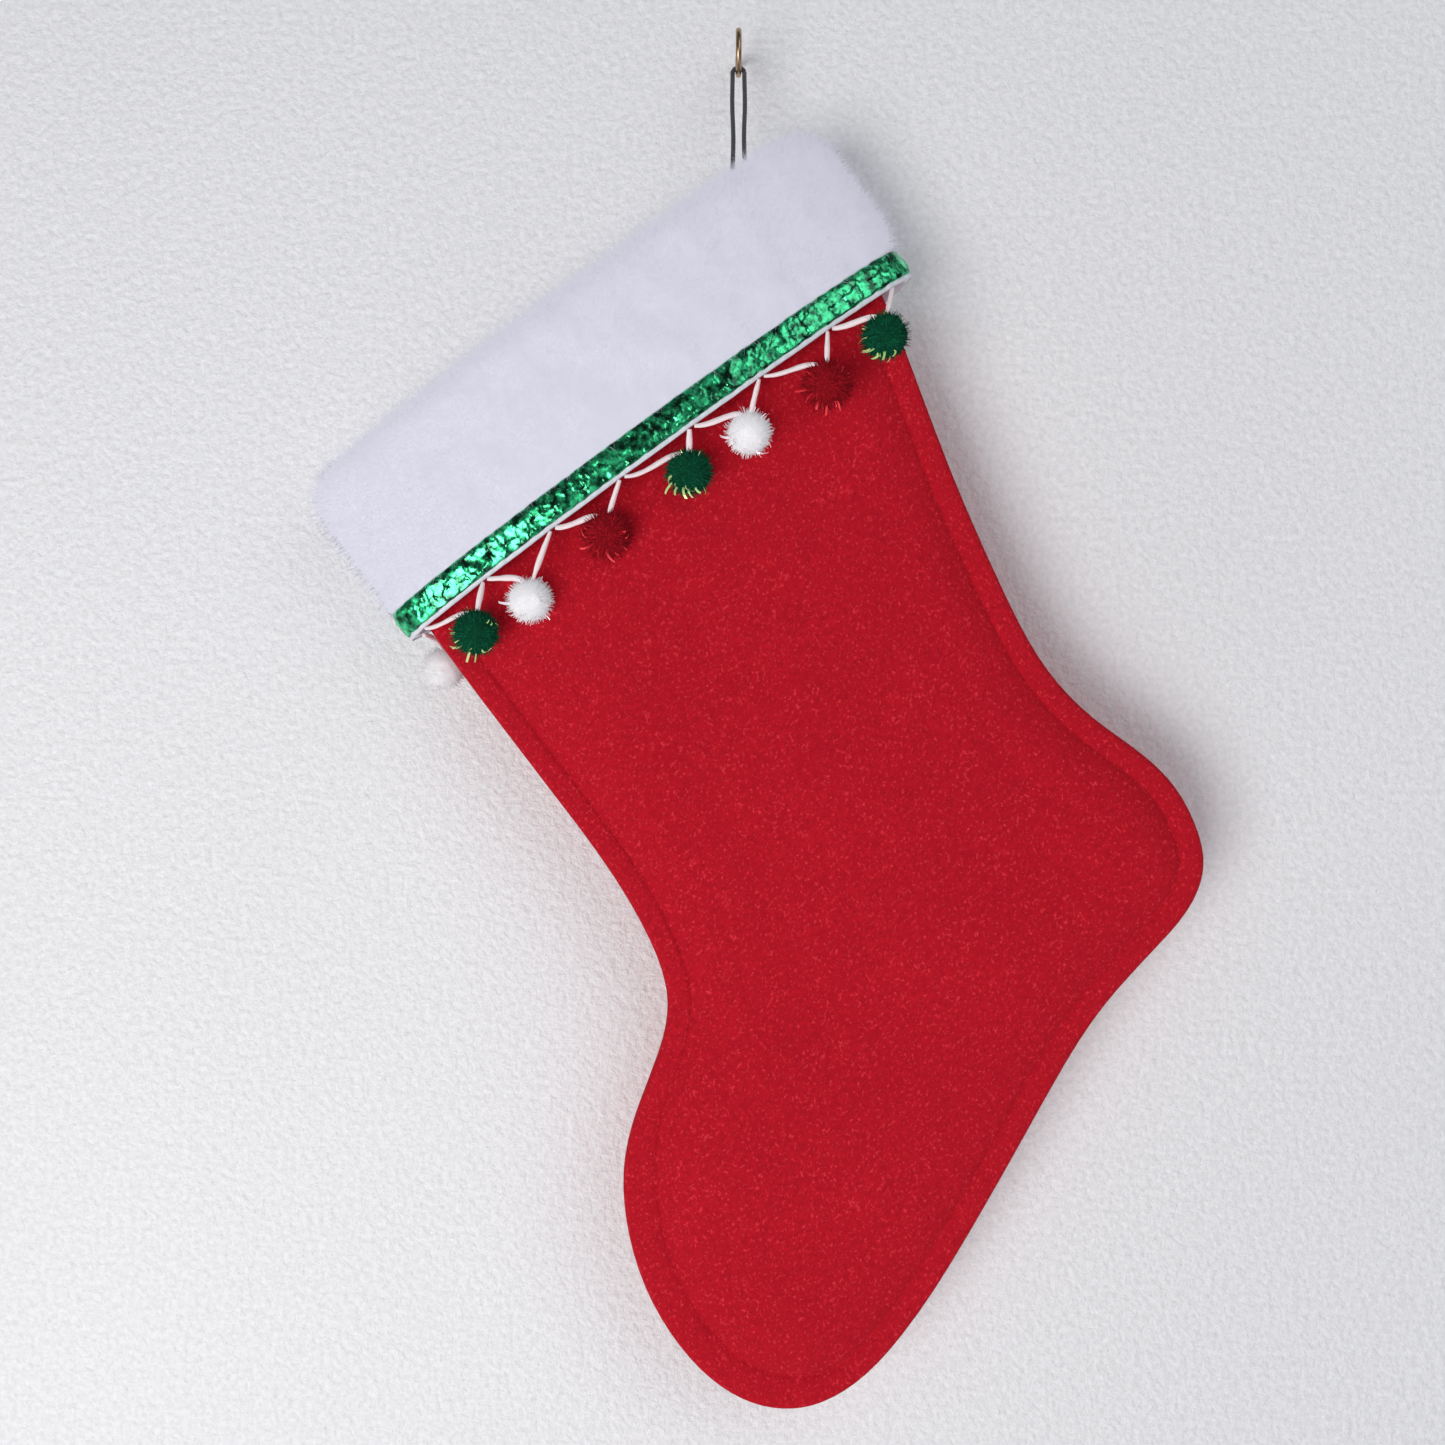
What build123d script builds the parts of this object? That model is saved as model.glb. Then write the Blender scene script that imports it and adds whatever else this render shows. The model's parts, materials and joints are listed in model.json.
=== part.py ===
from build123d import *
import os
from math import atan2, ceil, degrees, hypot

# Felt stocking with a fold-over plush cuff, hung by a cord loop on a brass screw hook.
# Millimetres. Row frame: origin on the hook's screw axis at the wall face, +X right,
# +Y into the wall, +Z up. The stocking's pieces are drawn upright in their own frame,
# whose origin is the middle of the cuff's top edge, and are then hung at HANG_TILT.

# Wall hook
WIRE = 1.15                # radius of the hook's wire
SHANK_OUT = 9.5            # straight shank in front of the wall
SHANK_IN = 5.0             # plain shank inside the wall
THREAD_LENGTH = 11.0       # threaded length beyond the plain shank
THREAD_PITCH = 1.5
THREAD_ROOT = 0.85         # core radius under the thread
THREAD_START = 0.75        # first crest, in pitches from the plain shank
CREST = THREAD_PITCH / 3   # length of each side of a crest
POINT = 0.1                # radius of the screw's point
BEND = 2.5                 # radius of the bend from shank to hook
HOOK = 8.0                 # radius of the hook's round, to the wire's centre
HOOK_SWEEP = 255           # degrees of round before the open end

# Hanging loop
CORD = 0.88                # radius of the loop's cord
STRAND = 2.3               # each strand's distance from the middle of the loop
KNOT_DROP = 44.1           # height of the hook's trough above the knot
KNOT = 2.2                 # radius of the knot
SIDE_GAP = 0.05            # play at each side of the knot
STITCH = 0.6               # radius of the thread that holds the knot
STITCH_BORE = 0.65         # radius of the knot's bore
STITCH_HEAD = 0.6          # thickness of the small head in front of the knot
STITCH_CLEAR = 0.05        # space between the knot and the head
STITCH_TAIL = 3.0          # length of the thread's end sewn into the cuff

# Hang of the stocking
HANG_TILT = 36             # degrees from upright, in the plane of the wall
MIDDLE_Y = -33.0           # depth of the stocking's middle plane
KNOT_AT = Vector(86.6, 1.5, -4.2)   # knot's place in the upright frame

# Felt boot: two panels, seen from the front, from the cuff down the shin and round to the heel
FELT = 1.8                 # thickness of one layer of felt
LEG_TOP = -8.2             # height of the felt's upper edge, just under the cuff's fold
RUN_UP = 60.0              # the outline is drawn on past the mouth, then cut off there
THREAD = 0.3               # thickness of the side seam's thread
SEAM_IN = 8.0              # distance of the side seam from the edge
CURVE_STEPS = 48           # points that redraw an outline moved inwards
CROWN = [(10.0, 3.6), (13.0, 6.0), (18.0, 8.3), (25.0, 9.5)]   # inset, outer depth
HOLLOW = [(10.6, 0.0), (14.6, 4.3), (19.4, 6.5), (26.0, 7.7)]  # inset, inner depth
SHIN = [(-111.0, RUN_UP), (-111.6, -20.0), (-112.8, -90.0), (-111.3, -160.0), (-114.0, -220.0)]
INSTEP = [(-123.3, -246.4), (-146.4, -265.6), (-171.6, -284.9), (-186.8, -308.0)]
TOE = [(-194.6, -331.0), (-196.8, -354.0), (-193.1, -377.3), (-184.6, -392.7)]
TIP = [(-172.1, -402.5), (-156.7, -406.5), (-125.9, -402.5)]
SOLE = [(-79.7, -385.1), (-33.5, -364.1), (12.7, -345.4), (43.5, -338.9)]
HEEL = [(62.5, -333.5), (74.3, -324.8), (81.7, -308.0), (83.4, -292.6), (81.0, -277.2)]
ANKLE = [(73.8, -254.1), (70.3, -229.0), (74.7, -192.5)]
CALF = [(84.8, -146.3), (95.3, -107.8), (103.0, -77.0), (108.0, -20.0), (109.0, RUN_UP)]

# Plush cuff: half width and half depth of its oval at each height
CUFF_TOP = [(0.0, 110.0, 18.5), (-3.0, 116.5, 20.5), (-9.0, 121.5, 22.8), (-20.0, 123.4, 24.0)]
CUFF_WIDE = 123.4
CUFF_DEEP = 24.0
PLUSH = 5.5                # thickness of the hanging fold
CAP = 8.0                  # thickness of the fold over the mouth's edge
FOLD_END = -60.0           # height where the plush is drawn in for the trims
NECK_TOP = -58.0           # height where the inside narrows to the trimmed band
BAND_END = -75.5           # height of the cuff's lower edge
BAND_WIDE = 118.4
BAND_DEEP = 21.9
BAND_WALL = 4.0
BAND_SHIFT = -1.9          # the trimmed band sits a little towards the toe
MOUTH_WIDE = 200.0
MOUTH_DEEP = 12.0

# Trims
TAPE = 0.7                 # thickness of the white tape
TAPE_TOP = -66.0
TAPE_END = -77.5
RIBBON = 0.5               # thickness of the foil ribbon
RIBBON_TOP = -63.7
RIBBON_END = -74.3

# Pom-poms, hung from points along the tape, starting at the front near the heel side
BALL = 8.55
BALL_DEPTH = 18.85         # depth of a ball that rests on the felt
YARN = 1.1                 # radius of the yarn that holds a ball
YARN_SPLIT = 1.3           # half of the space between two neighbouring yarn ends
YARN_CLEAR = 0.15          # space between the tape's edge and a yarn's end
FIRST_YARN = 13.8          # distance along the tape from its heel end to the first yarn
YARN_PITCH = 32.0
SHIFTS = [-0.6, 2.4, 0.3, 5.7, -0.8, -6.6, 1.2]    # sideways lie of the front balls
DROPS = [11.7, 13.6, 11.2, 9.8, 10.5, 13.6, 11.4]  # drop of the front balls
BACK_SHIFTS = [1.5, -2.0, 0.5, 3.0, -1.5, 0.0]
BACK_DROPS = [11.5, 12.8, 10.8, 12.0, 13.2, 11.0]
CORNER_BALL = Vector(-118.2, 12.8, -89.7)

# Stitches that hold the cuff's fold to the felt's upper edge
CUFF_STITCH = 0.4          # radius of a stitch
CUFF_STITCH_LENGTH = 6.0
CUFF_STITCH_STEP = 15.0
CUFF_STITCH_REACH = 75.0

INTO_WALL = Rotation(-90, 0, 0)
UPWARDS = (Align.CENTER, Align.CENTER, Align.MIN)
DOWNWARDS = (Align.CENTER, Align.CENTER, Align.MAX)
FAR = 600                  # longer than the stocking
HINGE_Z = TAPE_END - YARN - YARN_CLEAR
TROUGH_Y = -(SHANK_OUT + BEND + HOOK)
TROUGH_Z = -(BEND + HOOK)
KNOT_POINT = Vector(0, MIDDLE_Y + KNOT_AT.Y, TROUGH_Z - KNOT_DROP)
HANG = Location(KNOT_POINT) * Rotation(0, -HANG_TILT, 0) * Location(-KNOT_AT)
LOOP_LENGTH = hypot(KNOT_DROP, KNOT_POINT.Y - TROUGH_Y)
LOOP_LEAN = degrees(atan2(TROUGH_Y - KNOT_POINT.Y, KNOT_DROP))


def save(name, shape):
    """Write one node."""
    export_step(shape, f"parts/{name}.step")


def save_hung(name, shape):
    """Write one node of the stocking, moved from the upright frame to where it hangs."""
    save(name, HANG * shape)


def oval(half_width, half_depth, height, shift=0.0):
    """A horizontal oval face."""
    return Pos(shift, 0, height) * Ellipse(half_width, half_depth)


def oval_block(half_width, half_depth, top, bottom, shift=0.0):
    """An upright oval block between two heights."""
    return extrude(oval(half_width, half_depth, bottom, shift), amount=top - bottom)


def wall_hook():
    """Round wire hook that opens upwards, with a threaded shank in the wall."""
    shank = Line((0, 0), (-SHANK_OUT, 0))
    bend = JernArc(start=shank @ 1, tangent=(-1, 0), radius=BEND, arc_size=90)
    round_part = JernArc(start=bend @ 1, tangent=(0, -1), radius=HOOK, arc_size=-HOOK_SWEEP)
    path = Wire((Plane.YZ * (shank + bend + round_part)).edges())
    hook = sweep(Plane.XZ * Circle(WIRE), path=path)
    hook += Location(path @ 1) * Sphere(WIRE)
    plain = extrude(Plane.XZ * Circle(WIRE), amount=-SHANK_IN)
    core_end = SHANK_IN + THREAD_LENGTH
    core = Pos(0, SHANK_IN, 0) * extrude(Plane.XZ * Circle(THREAD_ROOT), amount=-THREAD_LENGTH)
    tip = Pos(0, core_end + THREAD_ROOT, 0) * INTO_WALL * Cone(THREAD_ROOT, POINT, 2 * THREAD_ROOT)
    thread = Part()
    for turn in range(ceil(THREAD_LENGTH / THREAD_PITCH) - 1):
        at = SHANK_IN + THREAD_PITCH * (turn + THREAD_START)
        crest = INTO_WALL * Cone(WIRE, THREAD_ROOT, CREST, align=UPWARDS)
        flank = INTO_WALL * Cone(THREAD_ROOT, WIRE, CREST, align=DOWNWARDS)
        thread += Pos(0, at, 0) * (crest + flank)
    return hook + plain + core + tip + thread


def hanging_loop():
    """Cord over the hook's wire, with its two ends beside the knot."""
    over = CenterArc((0, 0), STRAND, 0, 180)
    left = Line((-STRAND, 0), (-STRAND, -LOOP_LENGTH))
    right = Line((STRAND, -LOOP_LENGTH), (STRAND, 0))
    path = Wire((Plane.XZ * (right + over + left)).edges())
    start = Plane(path @ 0, z_dir=(0, 0, 1))
    loop = sweep(start * Circle(CORD), path=path)
    for side in (-STRAND, STRAND):
        loop += Pos(side, 0, -LOOP_LENGTH) * Sphere(CORD)
    return Pos(0, TROUGH_Y, TROUGH_Z) * Rotation(-LOOP_LEAN, 0, 0) * loop


def loop_knot():
    """Flattened knot that turns between the two cord ends, bored for the thread that holds it."""
    half = STRAND - CORD - SIDE_GAP
    knot = Sphere(KNOT) & Box(2 * half, 3 * KNOT, 3 * KNOT)
    knot -= Rotation(90, 0, 0) * Cylinder(STITCH_BORE, 3 * KNOT)
    return Location(KNOT_POINT) * knot


def loop_stitch():
    """Thread through the knot, with a small head in front and its tail sewn into the cuff."""
    front = KNOT + STITCH_CLEAR + STITCH_HEAD / 2
    head = Pos(0, -front, 0) * INTO_WALL * Cylinder(2 * STITCH, STITCH_HEAD)
    reach = MOUTH_DEEP / 2 - KNOT_AT.Y + STITCH_TAIL
    shaft = Pos(0, -front, 0) * INTO_WALL * Cylinder(STITCH, front + reach, align=UPWARDS)
    return Location(KNOT_AT) * (shaft + head)


def boot_points():
    """All the points of the boot's outline, from the shin's top to the calf's top."""
    return SHIN + INSTEP + TOE + TIP + SOLE + HEEL + ANKLE + CALF


def boot_face():
    """The boot's outline as an upright face, drawn on past the mouth."""
    curve = Spline(*boot_points())
    return Plane.XZ * make_face([curve.edge(), Line(curve @ 1, curve @ 0).edge()])


def inset_wire(distance, depth):
    """The boot's outline moved inwards, redrawn as one smooth curve with a straight top."""
    moved = offset(boot_face(), amount=-distance, kind=Kind.INTERSECTION)
    boot_edges = [edge for edge in moved.edges() if edge.geom_type != GeomType.LINE]
    boot_side = Wire(boot_edges)
    points = [boot_side @ (step / CURVE_STEPS) for step in range(CURVE_STEPS + 1)]
    if points[0].X > points[-1].X:
        points.reverse()
    curve = Spline(*points)
    return Wire([curve.edge(), Line(curve @ 1, curve @ 0).edge()]).moved(Pos(0, -depth, 0))


def below(height, shape):
    """The part of a shape that is under a height."""
    return shape & Pos(0, 0, height) * Box(FAR, FAR, FAR, align=DOWNWARDS)


def front_panel():
    """Front felt: a flat double rim round the outline and a crowned middle, open at the top."""
    rim = extrude(boot_face(), amount=2 * FELT)
    crown = Solid.make_loft([inset_wire(inset, depth) for inset, depth in CROWN])
    hollow = Solid.make_loft([inset_wire(inset, depth) for inset, depth in HOLLOW])
    panel = rim + crown - hollow
    return Pos(0, -THREAD / 2, 0) * below(LEG_TOP, panel)


def side_seam_thread():
    """Sewing line between the two panels, all the way round from mouth to mouth."""
    outer = Face(inset_wire(SEAM_IN - THREAD / 2, -THREAD / 2))
    inner = Face(inset_wire(SEAM_IN + THREAD / 2, -THREAD / 2))
    return below(LEG_TOP, extrude(outer, amount=THREAD) - extrude(inner, amount=THREAD))


def cuff():
    """Plush folded over the mouth's edge and hanging outside the felt, drawn in at its lower end."""
    levels = [oval(wide, deep, height).face().outer_wire() for height, wide, deep in reversed(CUFF_TOP)]
    top = Solid.make_loft(levels)
    side = oval_block(CUFF_WIDE, CUFF_DEEP, CUFF_TOP[-1][0], FOLD_END)
    band = oval_block(BAND_WIDE, BAND_DEEP, FOLD_END, BAND_END, BAND_SHIFT)
    inside = oval_block(CUFF_WIDE - PLUSH, CUFF_DEEP - PLUSH, -CAP, NECK_TOP)
    neck = oval_block(BAND_WIDE - BAND_WALL, BAND_DEEP - BAND_WALL, NECK_TOP, BAND_END, BAND_SHIFT)
    mouth = extrude(SlotOverall(MOUTH_WIDE, MOUTH_DEEP), amount=CAP, both=True)
    return top + side + band - inside - neck - mouth


def cuff_stitches():
    """Upright stitches from the cuff's fold into the middle of the felt's edge, front and back."""
    stitches = []
    count = int(2 * CUFF_STITCH_REACH / CUFF_STITCH_STEP) + 1
    depth = THREAD / 2 + (CROWN[-1][1] + HOLLOW[-1][1]) / 2
    for number in range(count):
        x = -CUFF_STITCH_REACH + number * CUFF_STITCH_STEP
        for y in (-depth, depth):
            stitches.append(Pos(x, y, LEG_TOP) * Cylinder(CUFF_STITCH, CUFF_STITCH_LENGTH))
    return Compound(children=stitches)


def ring(inner_wide, inner_deep, thickness, top, bottom):
    """A band of trim round the cuff's lower end."""
    outer = oval_block(inner_wide + thickness, inner_deep + thickness, top, bottom, BAND_SHIFT)
    return outer - oval_block(inner_wide, inner_deep, top, bottom, BAND_SHIFT)


def point_on_tape(line, distance):
    """Point on the tape's lower line, by distance from its heel end along the front."""
    front = distance < line.length / 2
    along = distance if front else line.length - distance
    point = line.position_at(along, position_mode=PositionMode.LENGTH)
    return Vector(point.X, -point.Y if front else point.Y, point.Z)


def yarn_points():
    """Two ends of each pom-pom's yarn, on the line where the yarn hangs from the tape."""
    line = oval(BAND_WIDE + TAPE / 2, BAND_DEEP + TAPE / 2, HINGE_Z, BAND_SHIFT).face().outer_wire()
    ends = []
    for number in range(len(SHIFTS) + 1 + len(BACK_SHIFTS)):
        first = FIRST_YARN + number * YARN_PITCH + YARN_SPLIT
        last = FIRST_YARN + (number + 1) * YARN_PITCH - YARN_SPLIT
        ends.append((point_on_tape(line, first), point_on_tape(line, last)))
    return ends


def ball_centre(number, start, end):
    """Middle of one pom-pom: it rests on the felt, or hangs past the shin's edge at the corner."""
    if number == len(SHIFTS):
        return CORNER_BALL
    front = number < len(SHIFTS)
    shift = SHIFTS[number] if front else BACK_SHIFTS[number - len(SHIFTS) - 1]
    drop = DROPS[number] if front else BACK_DROPS[number - len(SHIFTS) - 1]
    middle = (start + end) / 2
    return Vector(middle.X + shift, -BALL_DEPTH if front else BALL_DEPTH, HINGE_Z - drop)


def yarn_leg(start, centre):
    """One straight length of yarn, rounded where it hangs from the tape."""
    run = centre - start
    leg = Plane(start, z_dir=run) * Cylinder(YARN, run.length, align=UPWARDS)
    return leg + Location(start) * Sphere(YARN)


def pompoms():
    """Each ball with its own V of yarn, which runs into the middle of the ball."""
    for number, (start, end) in enumerate(yarn_points()):
        centre = ball_centre(number, start, end)
        yarn = yarn_leg(start, centre) + yarn_leg(end, centre) + Location(centre) * Sphere(YARN)
        ball = Location(centre) * Rotation(0, 0, 90) * Sphere(BALL) - yarn
        save_hung(f"pompom_{number + 1:02d}", ball)
        save_hung(f"pompom_yarn_{number + 1:02d}", yarn)


os.makedirs("parts", exist_ok=True)
front = front_panel()
back = mirror(front, about=Plane.XZ)
stitch = loop_stitch()
stitches = cuff_stitches()
save("wall_hook", wall_hook())
save("hanging_loop", hanging_loop())
save("loop_knot", loop_knot())
save_hung("loop_stitch", stitch)
save_hung("cuff", cuff() - stitch - stitches)
save_hung("front_panel", front - stitches)
save_hung("back_panel", back - stitches)
save_hung("side_seam_thread", side_seam_thread())
save_hung("cuff_stitches", stitches)
save_hung("fringe_tape", ring(BAND_WIDE, BAND_DEEP, TAPE, TAPE_TOP, TAPE_END))
save_hung("ribbon_trim", ring(BAND_WIDE + TAPE, BAND_DEEP + TAPE, RIBBON, RIBBON_TOP, RIBBON_END))
pompoms()
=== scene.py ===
import json
import math

import bpy
import numpy as np
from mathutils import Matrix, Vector, geometry, kdtree


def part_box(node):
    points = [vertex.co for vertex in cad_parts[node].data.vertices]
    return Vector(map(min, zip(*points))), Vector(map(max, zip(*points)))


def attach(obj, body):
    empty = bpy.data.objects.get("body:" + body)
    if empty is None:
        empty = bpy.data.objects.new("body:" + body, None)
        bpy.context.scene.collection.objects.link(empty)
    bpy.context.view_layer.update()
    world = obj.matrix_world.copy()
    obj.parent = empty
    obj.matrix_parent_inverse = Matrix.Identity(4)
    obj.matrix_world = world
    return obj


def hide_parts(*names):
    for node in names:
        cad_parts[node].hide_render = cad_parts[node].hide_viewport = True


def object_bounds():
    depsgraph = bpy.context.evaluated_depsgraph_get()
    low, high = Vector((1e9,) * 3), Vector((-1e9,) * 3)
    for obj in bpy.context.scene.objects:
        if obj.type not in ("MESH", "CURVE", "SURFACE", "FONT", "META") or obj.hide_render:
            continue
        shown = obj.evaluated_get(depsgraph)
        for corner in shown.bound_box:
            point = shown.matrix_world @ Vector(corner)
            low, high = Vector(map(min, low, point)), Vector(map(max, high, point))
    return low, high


# Hanging felt stocking. Lengths are in millimetres until a mesh is made, and meshes are in metres.
# The stocking's soft pieces are shaped upright, in the frame that its CAD solids were drawn in,
# and then turned to where they hang.
MM = 0.001

# Felt
FELT = 1.8  # one layer
GAP = 0.15  # from the middle plane to each panel
THINNEST = 0.35  # a layer's least thickness
EDGE_ROUND = 1.7  # rounding of the turned edge
SEAM = 9.4  # seam groove's distance from the edge
GROOVE = 0.6  # its depth, and the spread of its sides
RIM_PAD = 0.35  # how far the rim bulges between edge and seam
RIM_STEPS = (0.0, 0.25, 0.8, 1.7, 3.2, 5.2, 7.2, 8.4, 8.9, 9.4, 9.9, 10.5, 11.8, 13.4, 15.2)
# Distance from the edge and depth of the padded face
CROWN_STEPS = (
    (9.9, 3.4), (11.5, 4.2), (13.5, 5.1), (18.0, 6.7), (25.0, 8.2), (40.0, 9.4), (60.0, 9.6), (300.0, 9.6)
)
TOE_SEAM = 4.2  # how much further from the edge the groove runs along the toe
TOE_RUN = 150.0  # how far that goes on from the lowest point towards the instep
TOE_FADE = 30.0  # over what length it comes and goes
OUTLINE_STEP = 1.5  # between points along the outline
FELT_GRID = 2.6  # between points of the face
FELT_WAVES = ((95, 0.55), (34, 0.22), (22, 0.12))  # size and height: two for the face, one for the rim
NAP_COUNT = 34000  # loose fibres on each panel
NAP_LENGTH = (0.3, 0.85)
NAP_RISE = (0.05, 0.4)  # as a share of the length
NAP_WIDTH = (0.05, 0.13)
NAP_STOPS = (0.0, (0.25, 0.004, 0.010)), (0.7, (0.58, 0.012, 0.028)), (1.0, (0.85, 0.20, 0.24))

# Plush cuff. Heights are from the CAD cuff's top.
MOUTH = (101.0, 6.2)  # half width and half depth of the mouth
LINING_END = -34.0
FOLD_INSIDE = -9.0  # where the fold starts inside the mouth
FOLD_OUTSIDE = -17.0  # where it ends outside
CREST = (11.0, 8.5)  # from the mouth out to the fold's crest, in width and in depth
GATHER_TOP = -50.0  # where the plush starts to be drawn in
BAND_TOP = -64.0  # where it lies flat under the trims
UNDER_TAPE = 0.6  # how far the band stays inside the tape's outer face
BAND_THICK = 3.2
PLUSH_INSIDE = 5.5
INNER_FOLD = -7.4  # height of the fold's inner layer
CUFF_COLUMNS = 300
PILE_ROOM = 3.2  # how far the backing stays inside the cuff's box, for the pile
CROWN_DROP = 5.5  # the same at the cuff's upper edge, where the pile stands up
CORNERS = {1: 21.0, -1: 15.0}  # rounding of the cuff's upper corners, at its heel and shin ends
CLOTH = {
    "use_pressure": True, "uniform_pressure_force": 3.0, "quality": 6, "mass": 0.3,
    "tension_stiffness": 8, "compression_stiffness": 8, "bending_stiffness": 0.4,
}
SWELL_FRAMES = 18
SWELL_LIMIT = 3.2  # how far the cloth may move
# Pile of the plush: how many fibres on each side, their length and width, and how much they lean
PILE = {
    "pile_short": (45000, 1.3, 0.24, 0.35),
    "pile_low": (45000, 2.1, 0.18, 0.50),
    "pile_long": (34000, 4.4, 0.17, 0.50),
    "pile_wisps": (24000, 7.0, 0.16, 0.50),
}
PLUSH_TONES = (0.69, 0.68, 0.785), (0.74, 0.73, 0.84)
PILE_GLOW = 2.0  # how far the pile's shading leans to its own side, as light scatters in it

# Trims
TRIM_INSET = 0.7  # from the tape's outer face to the oval that the trims are laid on
RIBBON_GRID = (1300, 26)  # columns and rows
RIBBON_CRUMPLE = 0.7
RIBBON_THICK = 0.18
TAPE_GRID = (900, 12)
TAPE_THICK = 0.3
TAPE_LIFT = 1.9  # how much of the tape's lower part is turned under
YARN_TUCK = 2.5  # how far above their hinge line the yarns' ends are
CORNER_TUCK = 1.0  # the same at the corner, where a longer end would turn into the felt
YARN_RADIUS = 1.2
YARN_FLAT = 0.72

# Pom-poms. The fringe's run starts at the last ball before the shin corner.
COLOUR_RUN = ("green", "white", "red")
BALLS = 14
RUN_START = 7
CORNER_BALL = 8  # the one that hangs at the shin corner
FRONT_ROOM = 10  # balls less deep than this behind the cuff's middle are in front of the felt
CORE = 0.86  # share of the ball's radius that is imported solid
ROOTS = 0.74  # share of the radius where its fibres start
FIBRES = {"green": (4200, 0.16), "red": (3800, 0.30), "white": (4600, 0.22)}  # count and scatter
STRAY = {"green": 0.80, "red": 0.72, "white": 0.82}  # above this share, a fibre stands out of the ball
FULLNESS = {"green": 0.94, "red": 1.0, "white": 0.87}
BALL_GLOW = 0.5  # how far a ball's shading leans to its own side
# Strips of film in a ball: in the fan on its toe side, and round its rim
TINSEL = {"green": (6, 8), "red": (5, 14), "white": (2, 26)}
FILM_HALF_THICK = 0.04

YARN_TONES = (0.80, 0.64, 0.66), (0.92, 0.82, 0.84)
BALL_TONES = {
    "green": ((0.000, 0.018, 0.008), (0.001, 0.052, 0.024), (0.004, 0.13, 0.060)),
    "red": ((0.09, 0.001, 0.003), (0.24, 0.003, 0.008), (0.50, 0.010, 0.024)),
    "white": ((0.86, 0.84, 0.88), (0.92, 0.91, 0.94), (0.98, 0.97, 0.99)),
}
# Tinsel colours: each film's own colour, then a paler tone that is a painted glint, mixed over it in patches
TINSEL_GLINT_TONES = {
    "green": ((0.45, 0.95, 0.12), (0.95, 1.0, 0.65)),
    "red": ((0.85, 0.01, 0.02), (1.0, 0.09, 0.10)),
    "white": ((0.95, 0.72, 0.80), (0.95, 0.95, 1.0)),
}

# Hook's loop, knot and threads
CORD_RADIUS = 0.88
KNOT_CORD = 0.52
CORD_TONES = (0.014, 0.014, 0.018), (0.055, 0.055, 0.068)
THREADS = {
    "loop_stitch": ("sewing_thread_dark", ((0.01, 0.01, 0.012), (0.05, 0.05, 0.055))),
    "side_seam_thread": ("sewing_thread_red", ((0.16, 0.004, 0.01), (0.30, 0.01, 0.02))),
    "cuff_stitches": ("sewing_thread_white", ((0.6, 0.6, 0.62), (0.8, 0.8, 0.82))),
}

# Room and light. Places are in metres.
FLOOR_DROP = 900  # from the stocking's lowest point to the floor
WORLD = 0.33
WORLD_IN_METAL = 0.12  # what shiny pieces mirror of the room
# Soft boxes: place, size, power and colour. The last one is behind the wall, for views of the back.
LIGHTS = {
    "key": ((-0.85, -1.6, -0.90), 1.05, 25.0, (1.0, 0.99, 0.97)),
    "fill": ((1.0, -1.5, 0.5), 1.4, 9.0, (0.97, 0.98, 1.0)),
    "back": ((0.3, 1.4, 0.2), 1.4, 13.0, (0.98, 0.99, 1.0)),
}
EYE = (-0.0063, -0.633, -0.2659)
SENSOR = 36
VIEW_RANGE, VIEW_HALF = 600, 278.16    # how far off the picture's half width is that wide


def unit(vectors):
    """Vectors of length one."""
    return vectors / np.maximum(np.linalg.norm(vectors, axis=-1, keepdims=True), 1e-9)


def joint(name):
    """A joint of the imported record, by name."""
    return next(one for one in frame["record"]["behaviour"]["joints"] if one["name"] == name)


def get_points(mesh):
    """A mesh's corners, in millimetres."""
    return np.array([corner.co for corner in mesh.vertices]) / MM


def set_points(mesh, points):
    """Moves a mesh's corners to points in millimetres."""
    mesh.vertices.foreach_set("co", (points * MM).astype(np.float32).ravel())
    mesh.update()


def node_points(name):
    """A CAD node's corners, in the row frame."""
    return get_points(frame["nodes"][name].data)


def upright_axes():
    """The stocking's own axes: along the cuff, into the wall, and up the leg."""
    up = Vector(joint("pompom_08_swing")["axis"]).cross(Vector(joint("pompom_11_swing")["axis"]))
    up = up.normalized() * math.copysign(1, up.z)
    deep = Vector((0, 1, 0))
    return np.array([deep.cross(up), deep, up])


def to_row(points):
    """Upright points turned to where the stocking hangs."""
    return points @ AXES + ORIGIN


def to_upright(points):
    """Row points in the upright frame."""
    return (points - ORIGIN) @ AXES.T


def upright_box(name):
    """Lowest and highest corner of a CAD node in the upright frame."""
    points = to_upright(node_points(name))
    return points.min(0), points.max(0)


def row_box(name):
    """Middle and half size of a CAD node's box in the row frame."""
    low, high = (np.array(corner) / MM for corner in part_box(name))
    return (low + high) / 2, (high - low) / 2


def waves(points, size, seed):
    """Smooth random field of unit strength, whose features have the given size."""
    count = 28
    draw = np.random.default_rng(seed)
    ways = unit(draw.normal(size=(count, points.shape[1])))
    lengths = size * draw.uniform(0.7, 1.6, count)
    phases = draw.uniform(0, 2 * math.pi, count)
    field = np.sin(points @ (ways * (2 * math.pi / lengths)[:, None]).T + phases)
    return field.sum(1) * math.sqrt(2 / count)


def grid(rows, columns, close_rows=False, close_columns=False):
    """Four-sided faces over a grid of points, row after row."""
    row = np.arange(rows if close_rows else rows - 1)[:, None]
    column = np.arange(columns if close_columns else columns - 1)
    row_next, column_next = (row + 1) % rows, (column + 1) % columns
    corners = (row, column), (row, column_next), (row_next, column_next), (row_next, column)
    return np.stack([(r * columns + c).ravel() for r, c in corners], axis=1)


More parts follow.
